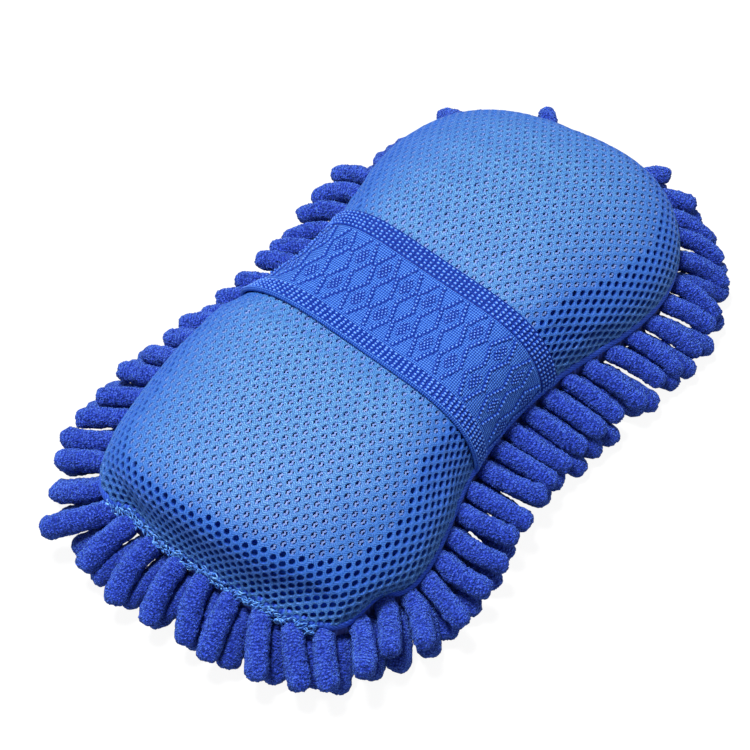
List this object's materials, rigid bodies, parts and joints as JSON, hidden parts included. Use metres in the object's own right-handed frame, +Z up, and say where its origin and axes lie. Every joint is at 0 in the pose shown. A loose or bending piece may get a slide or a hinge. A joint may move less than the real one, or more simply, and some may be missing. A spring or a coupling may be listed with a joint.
{
  "type": "wash mitt",
  "caption": "Waisted sponge wash pad with an open mesh top, an elastic hand strap over the waist and a sole of chenille noodles.",
  "frame": {"origin": "on the floor under the middle of the pad, at the bottom of the sole's noodles", "axes": "+X along the pad, +Y across it along the hand strap, +Z up from the noodles to the crown"},
  "size_m": [0.2884, 0.1793, 0.0604],
  "materials": {
    "foam": "open-cell polyurethane sponge",
    "mesh": "polyester air mesh with round holes, soft sheen",
    "backing": "fine knitted backing net, matt",
    "base_cloth": "knitted base cloth, matt",
    "tape": "ribbed seam tape, matt",
    "webbing": "jacquard elastic webbing, satin",
    "chenille": "microfibre chenille pile, soft sheen"
  },
  "bodies": {
    "pad": {"foam_core": "foam", "mesh_cover": "mesh", "cover_backing": "backing", "base_cloth": "base_cloth", "seam_tape": "tape", "strap_end_left": "webbing", "strap_end_right": "webbing", "upper_noodles_front": "chenille", "upper_noodles_left": "chenille", "upper_noodles_back": "chenille", "upper_noodles_right": "chenille", "lower_noodles_front": "chenille", "lower_noodles_left": "chenille", "lower_noodles_back": "chenille", "lower_noodles_right": "chenille", "outer_sole_noodles_front": "chenille", "outer_sole_noodles_left": "chenille", "outer_sole_noodles_back": "chenille", "outer_sole_noodles_right": "chenille", "inner_sole_noodles_front": "chenille", "inner_sole_noodles_left": "chenille", "inner_sole_noodles_back": "chenille", "inner_sole_noodles_right": "chenille", "centre_noodles": "chenille"},
    "strap": {"hand_strap": "webbing"}
  },
  "joints": [
    {"name": "strap_lift", "type": "slide", "parent": "pad", "child": "strap", "axis": [0, 0, 1], "range_m": [0, 0.025], "stiffness_N_per_m": 120, "springref_m": -0.01, "deforming": ["strap_end_left", "strap_end_right"]}
  ]
}
